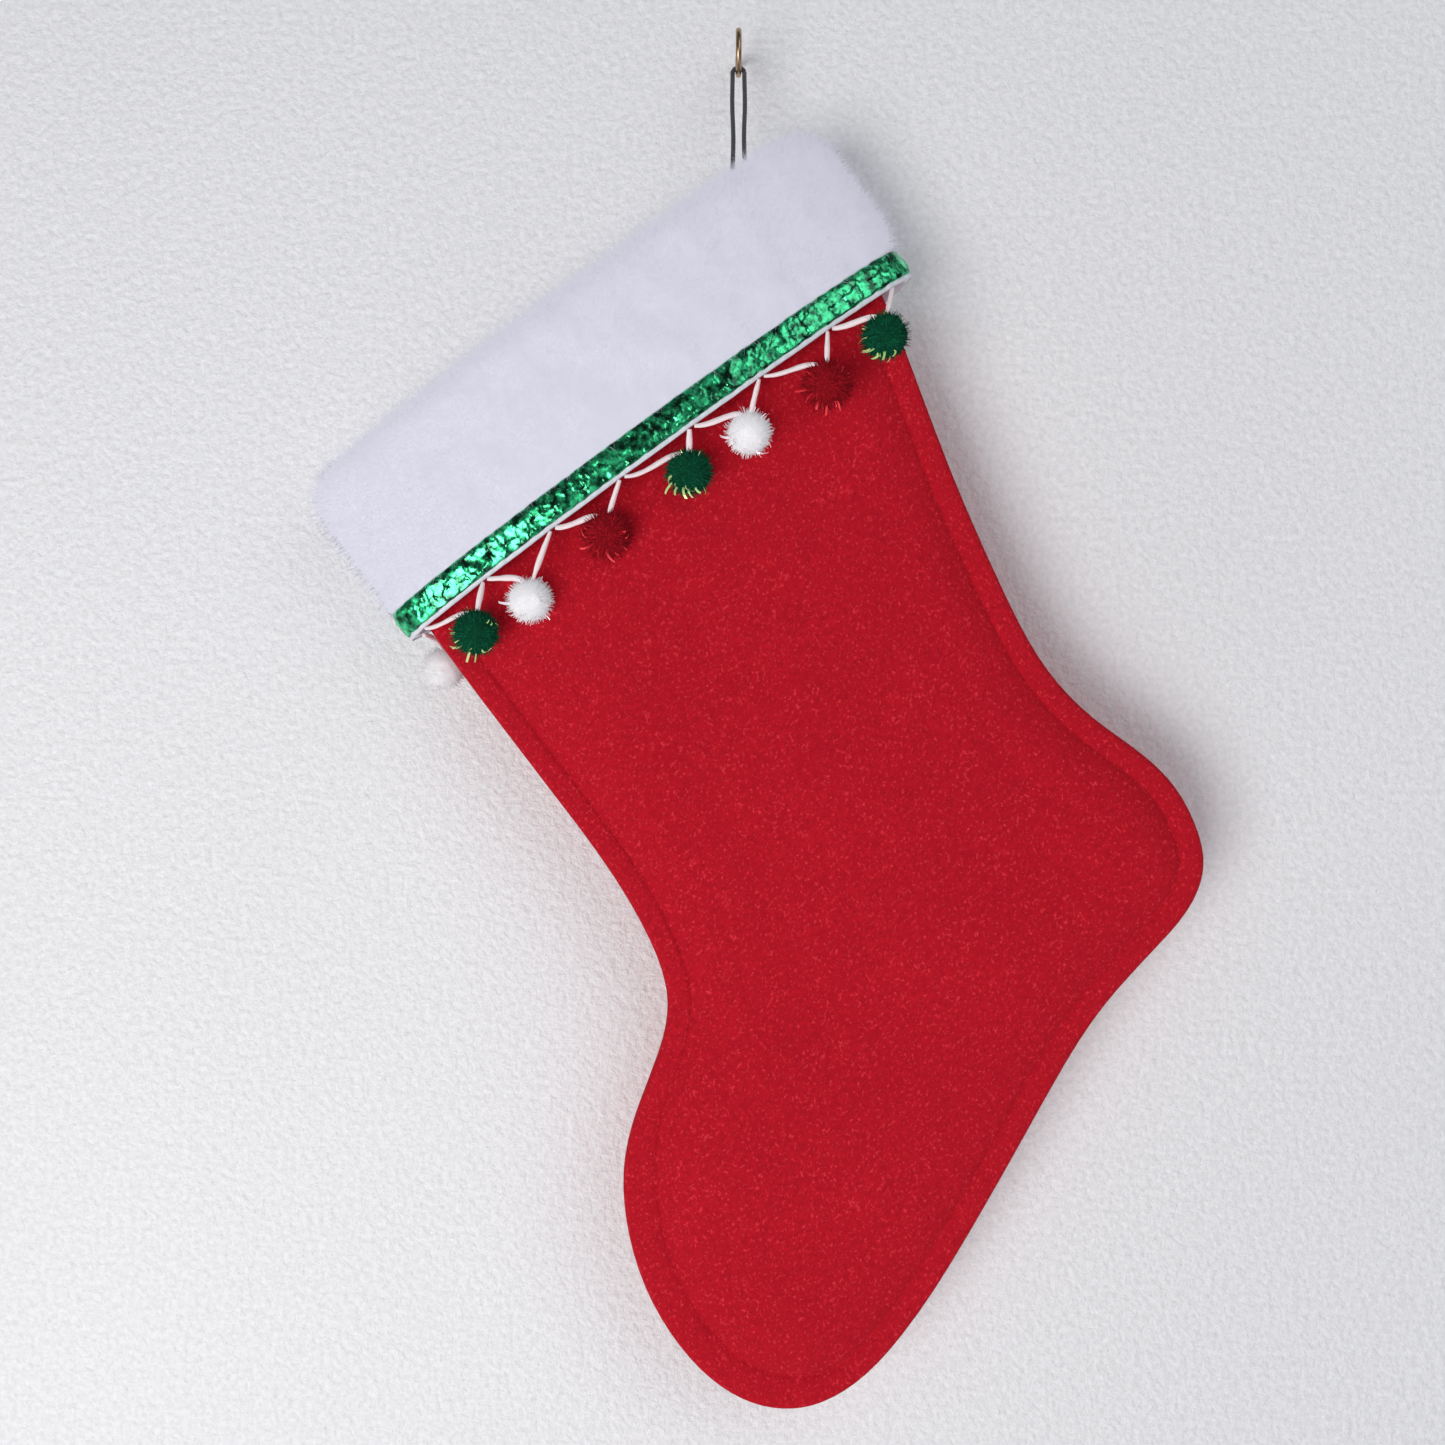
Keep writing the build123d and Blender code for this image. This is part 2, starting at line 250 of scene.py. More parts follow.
def make_piece(name, points, faces, look, smooth=True):
    """A mesh object from points in millimetres in the row frame and faces of one kind."""
    mesh = bpy.data.meshes.new(name)
    mesh.vertices.add(len(points))
    mesh.vertices.foreach_set("co", np.ascontiguousarray(points * MM, np.float32).ravel())
    sides = faces.shape[1]
    mesh.loops.add(faces.size)
    mesh.loops.foreach_set("vertex_index", faces.astype(np.int32).ravel())
    mesh.polygons.add(len(faces))
    mesh.polygons.foreach_set("loop_start", np.arange(0, faces.size, sides, dtype=np.int32))
    mesh.update(calc_edges=True)
    mesh.polygons.foreach_set("use_smooth", np.full(len(faces), smooth))
    mesh.materials.append(look)
    piece = bpy.data.objects.new(name, mesh)
    bpy.context.scene.collection.objects.link(piece)
    return piece


def dress(piece, body, node=None):
    """Gives a piece its body, and hides the CAD node that it stands for."""
    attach(piece, body)
    if node:
        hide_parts(node)


def set_tone(piece, tones):
    """Stores one number a point, which the piece's material reads as its tone."""
    attribute = piece.data.attributes.new("tone", "FLOAT", "POINT")
    attribute.data.foreach_set("value", np.asarray(tones, np.float32))


def needles(name, roots, tips, widths, look, normals, tones, blunt=0.0):
    """Closed three-sided fibres, drawn to a point. Where blunt isn't 0, it's the tip's share of the width."""
    along = unit(tips - roots)
    side = unit(np.cross(along, np.where(np.abs(along[:, :1]) > 0.8, [[0, 1, 0]], [[1, 0, 0]])))
    other = np.cross(along, side)
    turns = np.arange(3) * 2 * math.pi / 3
    ring = [(side * math.cos(turn) + other * math.sin(turn)) * widths[:, None] / 2 for turn in turns]
    if blunt:
        corners = [roots + spoke for spoke in ring] + [tips + spoke * blunt for spoke in ring]
        shape = [[0, 1, 4], [0, 4, 3], [1, 2, 5], [1, 5, 4], [2, 0, 3], [2, 3, 5], [2, 1, 0], [3, 4, 5]]
    else:
        corners = [roots + spoke for spoke in ring] + [tips]
        shape = [[0, 1, 3], [1, 2, 3], [2, 0, 3], [2, 1, 0]]
    size = len(corners)
    points = np.stack(corners, axis=1).reshape(-1, 3)
    first = size * np.arange(len(roots))[:, None, None]
    piece = make_piece(name, points, (first + np.array(shape)).reshape(-1, 3), look)
    normals = np.repeat(normals, size, axis=0).astype(np.float32)
    piece.data.normals_split_custom_set_from_vertices(normals)
    set_tone(piece, np.repeat(tones, size))
    return piece


def halved(quads):
    """Four-sided faces as triangles."""
    return np.concatenate([quads[:, [0, 1, 2]], quads[:, [0, 2, 3]]])


def closed_rings(rows, columns):
    """Triangles over rings of points, closed at both ends on the two points that follow them."""
    ring = np.arange(columns)
    after = (ring + 1) % columns
    last = (rows - 1) * columns
    count = rows * columns
    return np.concatenate([
        halved(grid(rows, columns, close_columns=True)),
        np.stack([np.full(columns, count), after, ring], axis=1),
        np.stack([np.full(columns, count + 1), last + ring, last + after], axis=1),
    ])


def sideways(ahead, start):
    """Two directions across a path at each of its points, carried along it without a twist."""
    side = np.empty_like(ahead)
    current = unit(np.cross(ahead[0], start))
    for number, way in enumerate(ahead):
        current = unit(current - way * (current @ way))
        side[number] = current
    return side, np.cross(ahead, side)


def run_length(points):
    """Distance along a path at each of its points."""
    return np.concatenate([[0], np.cumsum(np.linalg.norm(np.diff(points, axis=0), axis=1))])


def search_tree(points):
    """Tree that finds the nearest of some flat points."""
    tree = kdtree.KDTree(len(points))
    for number, (x, z) in enumerate(points):
        tree.insert((x, z, 0), number)
    tree.balance()
    return tree


def tube(path, radius, sides, flat=1.0, turn=0.0):
    """Points and faces of a cord along a path, closed at its ends. radius has one value a point."""
    ahead = unit(np.gradient(path, axis=0))
    side, other = sideways(ahead, (0.0, 0.0, 1.0) if abs(ahead[0, 2]) < 0.8 else (1.0, 0.0, 0.0))
    angles = np.linspace(0, 2 * math.pi, sides, endpoint=False)
    wide = radius[:, None] * np.cos(angles)
    high = flat * radius[:, None] * np.sin(angles)
    spin = np.broadcast_to(turn, len(path))[:, None]
    along_side = wide * np.cos(spin) - high * np.sin(spin)
    along_other = wide * np.sin(spin) + high * np.cos(spin)
    spokes = along_side[..., None] * side[:, None] + along_other[..., None] * other[:, None]
    points = (path[:, None] + spokes).reshape(-1, 3)
    return np.concatenate([points, path[[0, -1]]]), closed_rings(len(path), sides)


def joined(parts):
    """Several sets of points and faces as one."""
    starts = np.cumsum([0] + [len(points) for points, _ in parts])
    faces = [faces + start for (_, faces), start in zip(parts, starts)]
    return np.concatenate([points for points, _ in parts]), np.concatenate(faces)


def bezier(corners, steps):
    """Points along a curve with four control points."""
    t = np.linspace(0, 1, steps)[:, None]
    a, b, c, d = corners
    return (1 - t) ** 3 * a + 3 * (1 - t) ** 2 * t * b + 3 * (1 - t) * t ** 2 * c + t ** 3 * d


# ---- materials


class Look:
    """A node material. Inputs are given as values, nodes or sockets, with _ for a space in the name."""

    def __init__(self, name, **shader_inputs):
        self.material = bpy.data.materials.new(name)
        self.material.use_nodes = True
        self.tree = self.material.node_tree
        self.shader = self.tree.nodes["Principled BSDF"]
        self.feed(self.shader, shader_inputs)

    def feed(self, node, inputs):
        """Sets or links a node's inputs."""
        for name, value in inputs.items():
            socket = node.inputs[name.replace("_", " ")]
            if isinstance(value, bpy.types.Node):
                self.tree.links.new(value.outputs[0], socket)
            elif isinstance(value, bpy.types.NodeSocket):
                self.tree.links.new(value, socket)
            elif socket.type == "RGBA":
                socket.default_value = (*value, 1)
            else:
                socket.default_value = value

    def node(self, kind, settings=None, **inputs):
        """Adds a node of a kind."""
        made = self.tree.nodes.new("ShaderNode" + kind)
        for name, value in (settings or {}).items():
            setattr(made, name, value)
        self.feed(made, inputs)
        return made

    def wire(self, node, *sources):
        """Links sockets to a node's inputs, in order."""
        for socket, source in zip(node.inputs, sources):
            self.tree.links.new(source, socket)

    def place(self):
        """Where a point is on its piece, in metres."""
        return self.node("TexCoord").outputs["Object"]

    def noise(self, size, detail=3.0, rough=0.55, place=None):
        """Noise whose features are about size millimetres."""
        at = place or self.place()
        return self.node("TexNoise", Vector=at, Scale=0.5 / (size * MM), Detail=detail, Roughness=rough)

    def ramp(self, value, stops):
        """A ramp of greys or colours."""
        made = self.node("ValToRGB", Fac=value)
        points = made.color_ramp.elements
        for number, (at, colour) in enumerate(stops):
            point = points[number] if number < 2 else points.new(at)
            point.position = at
            point.color = (*colour, 1) if isinstance(colour, tuple) else (colour, colour, colour, 1)
        return made

    def mix(self, share, one, two, kind="MIX"):
        """Two colours mixed."""
        return self.node("MixRGB", {"blend_type": kind}, Fac=share, Color1=one, Color2=two)

    def bump(self, height, depth, strength):
        """A bump that is depth millimetres high."""
        return self.node("Bump", Height=height, Distance=depth * MM, Strength=strength)

    def tone(self):
        """The tone stored on the piece's points."""
        return self.node("Attribute", {"attribute_name": "tone"}).outputs["Fac"]

    def done(self, **shader_inputs):
        """The finished material."""
        self.feed(self.shader, shader_inputs)
        return self.material


def felt_look():
    """Red wool felt: matted fibres, with paler and darker flecks."""
    look = Look("red_felt", Roughness=0.95, Specular_IOR_Level=0.08, Sheen_Weight=0.03)
    place = look.place()
    stretched = look.node("Mapping", Vector=place, Scale=(1.0, 1.0, 0.85), Rotation=(0, 0.6, 0))
    crossed = look.node("Mapping", Vector=place, Scale=(0.85, 1.0, 1.0), Rotation=(0, 1.1, 0))
    broad = look.noise(26, 4, place=place)
    fine = look.noise(1.1, 5, 0.7, place)
    strands = look.noise(0.6, 3, 0.6, stretched)
    crossing = look.noise(0.6, 3, 0.6, crossed)
    base = look.mix(broad, (0.405, 0.0055, 0.014), (0.49, 0.0075, 0.0185))
    mottled = look.mix(look.ramp(fine, ((0.36, 0.0), (0.62, 1.0))), (0.36, 0.005, 0.014), base)
    pale = look.ramp(strands, ((0.56, 0.0), (0.70, 0.6)))
    flecked = look.mix(pale, mottled, (0.78, 0.045, 0.065))
    dark = look.ramp(crossing, ((0.60, 0.0), (0.74, 0.55)))
    colour = look.mix(dark, flecked, (0.22, 0.003, 0.010))
    height = look.mix(0.5, strands, crossing)
    rough = look.bump(height, 0.35, 0.7)
    return look.done(Base_Color=colour, Normal=rough, Sheen_Tint=(1.0, 0.45, 0.5), Sheen_Roughness=0.5)


def fibre_look(name, specular, stops):
    """Loose fibres, which differ in tone."""
    look = Look(name, Roughness=0.95, Specular_IOR_Level=specular)
    return look.done(Base_Color=look.ramp(look.tone(), stops))


def plush_look():
    """White plush's backing."""
    look = Look("white_plush", Roughness=0.95, Sheen_Weight=0.3)
    blotch = look.noise(14, 3)
    fine = look.noise(1.6, 4)
    base = look.mix(blotch, *PLUSH_TONES)
    return look.done(Base_Color=base, Normal=look.bump(fine, 0.1, 0.3))


def foil_look():
    """Crushed green foil, its colour painted in patches from dark green shade to bright mint highlight."""
    look = Look("green_foil", Metallic=1.0, Roughness=0.2, Coat_Weight=0.6, Coat_Roughness=0.12)
    place = look.place()
    cells = look.node("TexVoronoi", Vector=place, Scale=420.0)
    small = look.noise(1.7, 3, 0.6, place)
    # Painted highlight and shade: noise mixes near-black green and bright mint patches into the metal's
    # colour.
    foil_glint_patches = look.ramp(small, ((0.38, 0.0), (0.62, 1.0)))
    tint = look.mix(foil_glint_patches, (0.0, 0.07, 0.03), (0.06, 0.85, 0.36))
    height = look.mix(0.5, cells.outputs["Distance"], small)
    rough = look.ramp(small, ((0.3, 0.14), (0.7, 0.34)))
    return look.done(Base_Color=tint, Roughness=rough, Normal=look.bump(height, 0.12, 0.6))


def tape_look():
    """Narrow satin tape."""
    look = Look("white_tape", Roughness=0.42, Sheen_Weight=0.2)
    threads = look.node("TexWave", Vector=look.place(), Scale=900.0, Distortion=0.6)
    soft = look.noise(6, 2)
    colour = look.mix(soft, (0.55, 0.58, 0.64), (0.68, 0.71, 0.77))
    return look.done(Base_Color=colour, Normal=look.bump(threads, 0.05, 0.35))


def tinsel_look(name, tones):
    """Strips of bright film among the yarn: their own colour, mixed in patches with a paler painted glint."""
    look = Look(name, Metallic=0.25, Roughness=0.25)
    return look.done(Base_Color=look.mix(look.noise(1.5, 2), *tones))


def brass_look():
    """Drawn brass wire, a little tarnished."""
    look = Look("hook_brass", Metallic=1.0, Roughness=0.34)
    tarnish = look.noise(2.5, 4)
    colour = look.mix(tarnish, (0.30, 0.19, 0.12), (0.55, 0.40, 0.27))
    rough = look.ramp(tarnish, ((0.3, 0.2), (0.75, 0.45)))
    scratches = look.noise(0.25, 3)
    return look.done(Base_Color=colour, Roughness=rough, Normal=look.bump(scratches, 0.03, 0.4))


def strand_look(name, tones, roughness=0.85, sheen=0.3, fibre=(0.5, 4, 0.6), rise=(0.12, 0.6)):
    """Thread, cord or yarn. tones are its darkest and palest colours."""
    look = Look(name, Roughness=roughness, Sheen_Weight=sheen)
    fibres = look.noise(*fibre)
    return look.done(Base_Color=look.mix(fibres, *tones), Normal=look.bump(fibres, *rise))


# ---- felt boot


def boot_outline():
    """Outline of the boot from the cuff down the shin and round to the calf, evenly spaced."""
    mesh = frame["nodes"]["front_panel"].data
    points = to_upright(node_points("front_panel"))
    flat = points[:, 1] > -GAP - 0.02
    edges = set()
    mesh.calc_loop_triangles()
    for triangle in mesh.loop_triangles:
        if flat[list(triangle.vertices)].all():
            a, b, c = (tuple(np.round(points[corner], 2)) for corner in triangle.vertices)
            edges |= {(a, b), (b, c), (c, a)}
    after = {start: end for start, end in edges if (end, start) not in edges}
    top = max(point[2] for point in after)
    corners = [point for point in after if point[2] > top - 0.05]
    left, right = min(corners), max(corners)
    for start, end in ((left, right), (right, left)):
        path = [start]
        while path[-1] != end:
            path.append(after[path[-1]])
        reaches_down = min(point[2] for point in path) < top - 100
        if reaches_down and not any(point in corners for point in path[1:-1]):
            break
    line = np.array(path)[:, [0, 2]]
    if line[0, 0] > line[-1, 0]:
        line = line[::-1]
    length = run_length(line)
    even = np.linspace(0, length[-1], round(length[-1] / OUTLINE_STEP))
    return np.stack([np.interp(even, length, line[:, 0]), np.interp(even, length, line[:, 1])], axis=1)


def felt_depth(distance):
    """Depth of the panel's outer face at a distance from its edge."""
    steps = np.array(CROWN_STEPS)
    crown = np.interp(distance, steps[:, 0], steps[:, 1])
    edge = np.clip(1 - distance / EDGE_ROUND, 0, 1)
    rim = 2 * FELT * np.sqrt(np.maximum(1 - edge ** 2, 0.012))
    pad = RIM_PAD * np.sin(np.pi * np.clip(distance / SEAM, 0, 1))
    groove = GROOVE * np.exp(-((distance - SEAM) / GROOVE) ** 2)
    return GAP + np.where(distance < CROWN_STEPS[0][0], rim + pad, crown) - groove


def filled(border, middle):
    """Points and triangles that fill a closed border, and where each of the border's points went."""
    corners = [Vector(point) for point in np.concatenate([border, middle])]
    found = geometry.delaunay_2d_cdt(corners, [], [list(range(len(border)))], 1, 1e-4)
    inside = np.array([tuple(triangle) for triangle in found[2]])
    used = np.unique(inside)
    renumber = np.full(len(found[0]), -1)
    renumber[used] = np.arange(len(used))
    where = np.full(len(corners), -1)
    for number in used:
        for origin in found[3][number]:
            where[origin] = renumber[number]
    return np.array([tuple(point) for point in found[0]])[used], renumber[inside], where


def boot_plan():
    """A panel laid flat: points, triangles, each point's distance from the edge, and the border."""
    line = boot_outline()
    columns = len(line)
    ahead = unit(np.gradient(line, axis=0))
    inward = np.stack([-ahead[:, 1], ahead[:, 0]], axis=1)
    lowest = np.argmin(to_row(np.insert(line, 1, 0, axis=1))[:, 2])
    run = (lowest - np.arange(columns)) * OUTLINE_STEP
    wider = TOE_SEAM * np.clip(run / TOE_FADE + 1, 0, 1) * np.clip((TOE_RUN - run) / TOE_FADE, 0, 1)
    steps = np.array(RIM_STEPS)[:, None, None]
    share = np.clip((steps - EDGE_ROUND) / (SEAM - EDGE_ROUND), 0, 1)
    rings = line + inward * (steps + wider[:, None] * share)
    rings[:, [0, -1], 1] = line[[0, -1], 1]
    rings, inner = rings[:-1], rings[-1]
    tree = search_tree(line)

    def edge_distance(points):
        """Distance from the edge, less what the toe's wider rim adds."""
        found = [tree.find((x, z, 0)) for x, z in points]
        return np.array([gap - wider[index] for _, index, gap in found])

    top_count = int(np.linalg.norm(inner[-1] - inner[0]) / FELT_GRID)
    border = np.concatenate([inner, np.linspace(inner[-1], inner[0], top_count + 1)[1:-1]])
    low, high = inner.min(0), inner.max(0)
    rows = np.arange(low[1], high[1], FELT_GRID * 0.866)  # an even triangle grid
    middle = np.array([
        (x + FELT_GRID / 2 * (number % 2), z)
        for number, z in enumerate(rows)
        for x in np.arange(low[0], high[0], FELT_GRID)
    ])
    inside = edge_distance(middle) > RIM_STEPS[-1] + FELT_GRID * 0.6
    flat, filling, where = filled(border, middle[inside & (middle[:, 1] < line[0, 1] - 1.5)])
    base = len(rings) * columns
    last = base - columns + np.arange(columns)
    near = base + where[:columns]
    strip = np.stack([last[:-1], last[1:], near[1:], near[:-1]], axis=1)
    rim = halved(np.concatenate([grid(len(rings), columns), strip]))
    triangles = np.concatenate([rim, filling + base])
    plan = np.concatenate([rings.reshape(-1, 2), flat])
    distance = np.concatenate([np.repeat(RIM_STEPS[:-1], columns), edge_distance(flat)])
    ring_starts = np.arange(1, len(rings)) * columns
    loop = np.concatenate([
        np.arange(columns),
        ring_starts + columns - 1,
        base + where[columns - 1:len(border)],
        [base + where[0]],
        ring_starts[::-1],
    ])
    return plan, triangles, distance, loop


def felt_panel(name, node, face, seed, boot, look):
    """One felt panel as a closed shell. face is -1 for the front and 1 for the back.
    Returns its outer face's points in the upright frame."""
    plan, triangles, distance, loop = boot
    broad, narrow, rim = (
        height * waves(plan, size, seed + number) for number, (size, height) in enumerate(FELT_WAVES)
    )
    face_share = np.clip((distance - 10) / 25, 0, 1)
    outer = felt_depth(distance) + face_share * (broad + narrow) + rim * np.clip(distance / 2, 0, 1)
    inner = np.maximum(outer - FELT, GAP)
    inner[distance < SEAM] = GAP
    outer = np.maximum(outer, inner + THINNEST)
    front, rear = (np.stack([plan[:, 0], -depth, plan[:, 1]], axis=1) for depth in (outer, inner))
    count = len(plan)
    after = np.roll(loop, -1)
    faces = np.concatenate([
        triangles,
        triangles[:, ::-1] + count,
        np.stack([loop, after + count, after], axis=1),
        np.stack([loop, loop + count, after + count], axis=1),
    ])
    points = np.concatenate([front, rear]) * (1, -face, 1)
    piece = make_piece(name, to_row(points), faces[:, ::-1] if face > 0 else faces, look)
    dress(piece, "stocking", node)
    return points[:count]


def felt_nap(name, points, triangles, face, seed, look):
    """Short loose fibres that lie on a felt panel and stand a little proud of its edge."""
    draw = np.random.default_rng(seed)
    corners = points[triangles]
    cross = np.cross(corners[:, 1] - corners[:, 0], corners[:, 2] - corners[:, 0])
    area = np.linalg.norm(cross, axis=1)
    outward = -face * unit(cross)
    chosen = draw.choice(len(area), NAP_COUNT, p=area / area.sum())
    share = np.sqrt(draw.uniform(size=(NAP_COUNT, 1)))
    second = draw.uniform(size=(NAP_COUNT, 1))
    a, b, c = corners[chosen].transpose(1, 0, 2)
    roots = a * (1 - share) + b * share * (1 - second) + c * share * second
    normal = outward[chosen]
    lean = unit(np.cross(normal, unit(draw.normal(size=(NAP_COUNT, 3)))))
    length = draw.uniform(*NAP_LENGTH, (NAP_COUNT, 1))
    rise = draw.uniform(*NAP_RISE, (NAP_COUNT, 1))
    tips = roots + lean * length + normal * rise * length
    widths = draw.uniform(*NAP_WIDTH, NAP_COUNT)
    piece = needles(
        name, to_row(roots - normal * 0.05), to_row(tips), widths, look,
        normals=normal @ AXES, tones=draw.uniform(size=NAP_COUNT) ** 1.5,
    )
    dress(piece, "stocking")


# ---- cuff and trims


class Oval:
    """The oval that the trims lie on, walked by distance from its heel end along the front."""

    def __init__(self, half_wide, half_deep, shift):
        angle = np.linspace(0, 2 * math.pi, 8001)
        x, y = half_wide * np.cos(angle) + shift, -half_deep * np.sin(angle)
        self.along = np.concatenate([[0], np.cumsum(np.hypot(np.diff(x), np.diff(y)))])
        self.angle = angle
        self.half = half_wide, half_deep
        self.shift = shift
        self.length = self.along[-1]

    def spread(self, columns, rows):
        """Distance along the oval and share of the height, over a grid."""
        around = np.linspace(0, self.length, columns, endpoint=False)
        return np.meshgrid(around, np.linspace(0, 1, rows), indexing="xy")

    def at(self, distance, out):
        """Points at a distance along the oval, moved outwards."""
        angle = np.interp(distance % self.length, self.along, self.angle)
        wide, deep = self.half
        normal = unit(np.stack([deep * np.cos(angle), -wide * np.sin(angle)], axis=-1))
        x = wide * np.cos(angle) + self.shift + normal[..., 0] * out
        y = -deep * np.sin(angle) + normal[..., 1] * out
        return x, y


def cuff_profile(box_low, box_high, band_low, band_high):
    """Rings of the cuff's section, from the lining's end over the fold, down under the trims and back up.
    Each ring is (half width, half depth, height, sideways shift, how freely it swells)."""
    wide, deep = box_high[0] - PILE_ROOM, box_high[1] - PILE_ROOM / 2
    mouth_wide, mouth_deep = MOUTH
    crest_wide, crest_deep = mouth_wide + CREST[0], mouth_deep + CREST[1]
    rise = -FOLD_OUTSIDE - CROWN_DROP
    inner_rise = rise + FOLD_OUTSIDE - FOLD_INSIDE
    band_wide = (band_high[0] - band_low[0]) / 2 - UNDER_TAPE
    band_deep = band_high[1] - UNDER_TAPE
    shift = (band_high[0] + band_low[0]) / 2
    end = box_low[2]
    rings = []

    def add(wide, deep, height, shift=0, free=0):
        """Adds rings, from numbers or one value a ring."""
        rings.append(np.stack(np.broadcast_arrays(wide, deep, height, shift, free), axis=1))

    add(mouth_wide, mouth_deep, np.linspace(LINING_END, FOLD_INSIDE - 1, 9))
    angle = np.linspace(-0.1, math.pi / 2, 7)[1:]
    out = 1 - np.cos(angle)
    height = FOLD_INSIDE + inner_rise * np.sin(angle)
    add(mouth_wide + CREST[0] * out, mouth_deep + CREST[1] * out, height, 0, 0.2)
    angle = np.linspace(math.pi / 2, 0, 13)[1:]
    out = np.cos(angle)
    crest = crest_wide + (wide - crest_wide) * out, crest_deep + (deep - crest_deep) * out
    add(*crest, FOLD_OUTSIDE + rise * np.sin(angle), 0, 0.5 + 0.5 * out)
    add(wide, deep, np.linspace(FOLD_OUTSIDE, GATHER_TOP, 22)[1:], 0, 1)
    share = np.linspace(0, 1, 11)[1:]
    ease = share * share * (3 - 2 * share)
    height = GATHER_TOP + (BAND_TOP - GATHER_TOP) * share
    drawn_in = wide + (band_wide - wide) * ease, deep + (band_deep - deep) * ease
    add(*drawn_in, height, shift * ease, 1 - ease)
    add(band_wide, band_deep, np.linspace(BAND_TOP, end, 7)[1:], shift)
    add(band_wide - BAND_THICK, band_deep - BAND_THICK, np.linspace(end, BAND_TOP + 4, 5), shift)
    add(wide - PLUSH_INSIDE, deep - PLUSH_INSIDE, np.linspace(BAND_TOP + 8, -12, 14))
    add([mouth_wide + 8, mouth_wide + 2.5], [13.5, mouth_deep + 2.0], INNER_FOLD)
    add(mouth_wide + 1.2, mouth_deep + 1.2, np.linspace(-12, LINING_END, 8))
    return np.concatenate(rings)


def cuff_base(look):
    """The plush's backing: a closed fold of cloth, swollen by simulation above the trims."""
    low, high = upright_box("cuff")
    band_low, band_high = upright_box("fringe_tape")
    rings = cuff_profile(low, high, band_low, band_high)
    oval = Oval(high[0], high[1], 0)
    along = np.linspace(0, oval.length, CUFF_COLUMNS, endpoint=False)
    angle = np.interp(along, oval.along, oval.angle)
    points = np.empty((len(rings), CUFF_COLUMNS, 3))
    points[..., 0] = rings[:, 0, None] * np.cos(angle) + rings[:, 3, None]
    points[..., 1] = -rings[:, 1, None] * np.sin(angle)
    points[..., 2] = rings[:, 2, None]
    faces = grid(len(rings), CUFF_COLUMNS, close_rows=True, close_columns=True)
    free = np.repeat(rings[:, 4], CUFF_COLUMNS)
    flat = points.reshape(-1, 3)
    outward = unit(flat / (high[0] ** 2, high[1] ** 2, 1) * (1, 1, 0))
    for end, rounding in CORNERS.items():
        beyond = np.clip(flat[:, 0] * end - (high[0] - PILE_ROOM - rounding), 0, rounding)
        drop = rounding - np.sqrt(rounding ** 2 - beyond ** 2)
        flat[:, 2] -= 0.5 * drop * np.clip((flat[:, 2] + 32) / 32, 0, 1)
    gather = np.exp(-((flat[:, 2] + 60.5) / 4.0) ** 2) * (free > 0)
    pleat = waves(np.stack([np.tile(along, len(rings)), flat[:, 2] * 0.1], axis=1), 9, 41)
    flat = flat + outward * (gather * pleat * 0.20)[:, None]
    piece = make_piece("cuff_plush", to_row(flat), faces, look)
    swell(piece, 1 - free)
    local = to_upright(get_points(piece.data))
    lumps = 0.30 * waves(local, 19, 42) + 0.12 * waves(local, 7, 43)
    local = local + outward * (lumps * np.clip(free, 0, 1))[:, None]
    set_points(piece.data, to_row(local))
    dress(piece, "stocking", "cuff")
    return local, faces, free


def swell(piece, held):
    """Inflates a piece as cloth, held where held is 1, and stops any point from moving too far."""
    before = get_points(piece.data)
    group = piece.vertex_groups.new(name="held")
    for number, weight in enumerate(held):
        group.add([number], float(weight), "REPLACE")
    cloth = piece.modifiers.new("Cloth", "CLOTH")
    for name, value in CLOTH.items():
        setattr(cloth.settings, name, value)
    cloth.settings.vertex_group_mass = "held"
    cloth.settings.effector_weights.gravity = 0
    cloth.point_cache.frame_start = 1
    cloth.point_cache.frame_end = SWELL_FRAMES
    for number in range(1, SWELL_FRAMES + 1):
        bpy.context.scene.frame_set(number)
    graph = bpy.context.evaluated_depsgraph_get()
    moved = get_points(piece.evaluated_get(graph).data) - before
    piece.modifiers.remove(cloth)
    bpy.context.scene.frame_set(1)
    size = np.linalg.norm(moved, axis=1, keepdims=True)
    set_points(piece.data, before + moved * np.minimum(1, SWELL_LIMIT / np.maximum(size, 1e-6)))


def cuff_pile(points, faces, free, look):
    """The plush's fibres, front and back: a short dense pile, and longer hairs that soften its edge."""
    draw = np.random.default_rng(51)
    shown = (free > 0.15) | ((points[:, 2] > -64.5) & (points[:, 2] < -60.0) & (free > 0))
    used = faces[shown[faces].all(1)]
    corners = points[used]
    cross = np.cross(corners[:, 2] - corners[:, 0], corners[:, 3] - corners[:, 1])
    area = np.linalg.norm(cross, axis=1)
    outward = unit(cross)
    for name, side in (("front", -1), ("back", 1)):
        here = np.flatnonzero(corners[:, :, 1].mean(1) * side > 0)
        for layer, (count, length, width, lean) in PILE.items():
            chosen = draw.choice(here, count, p=area[here] / area[here].sum())
            a, b = draw.uniform(size=(2, count, 1))
            spot = corners[chosen]
            low = spot[:, 0] * (1 - a) + spot[:, 1] * a
            high = spot[:, 3] * (1 - a) + spot[:, 2] * a
            roots = low * (1 - b) + high * b
            normal = outward[chosen]
            way = unit(normal + lean * draw.normal(size=(count, 3)) + (0, 0, -0.12))
            tips = roots + way * length * draw.uniform(0.45, 1.15, (count, 1))
            widths = width * draw.uniform(0.7, 1.3, count)
            piece = needles(
                f"cuff_{layer}_{name}", to_row(roots - normal * 0.1), to_row(tips), widths, look,
                normals=unit(normal + (0, PILE_GLOW * side, 0)) @ AXES, tones=draw.uniform(size=count),
            )
            piece.visible_shadow = piece.visible_diffuse = False
            dress(piece, "stocking")


def trim_oval():
    """The oval of the cuff's gathered band, which the tape lies on."""
    low, high = upright_box("fringe_tape")
    return Oval((high[0] - low[0]) / 2 - TRIM_INSET, high[1] - TRIM_INSET, (high[0] + low[0]) / 2)


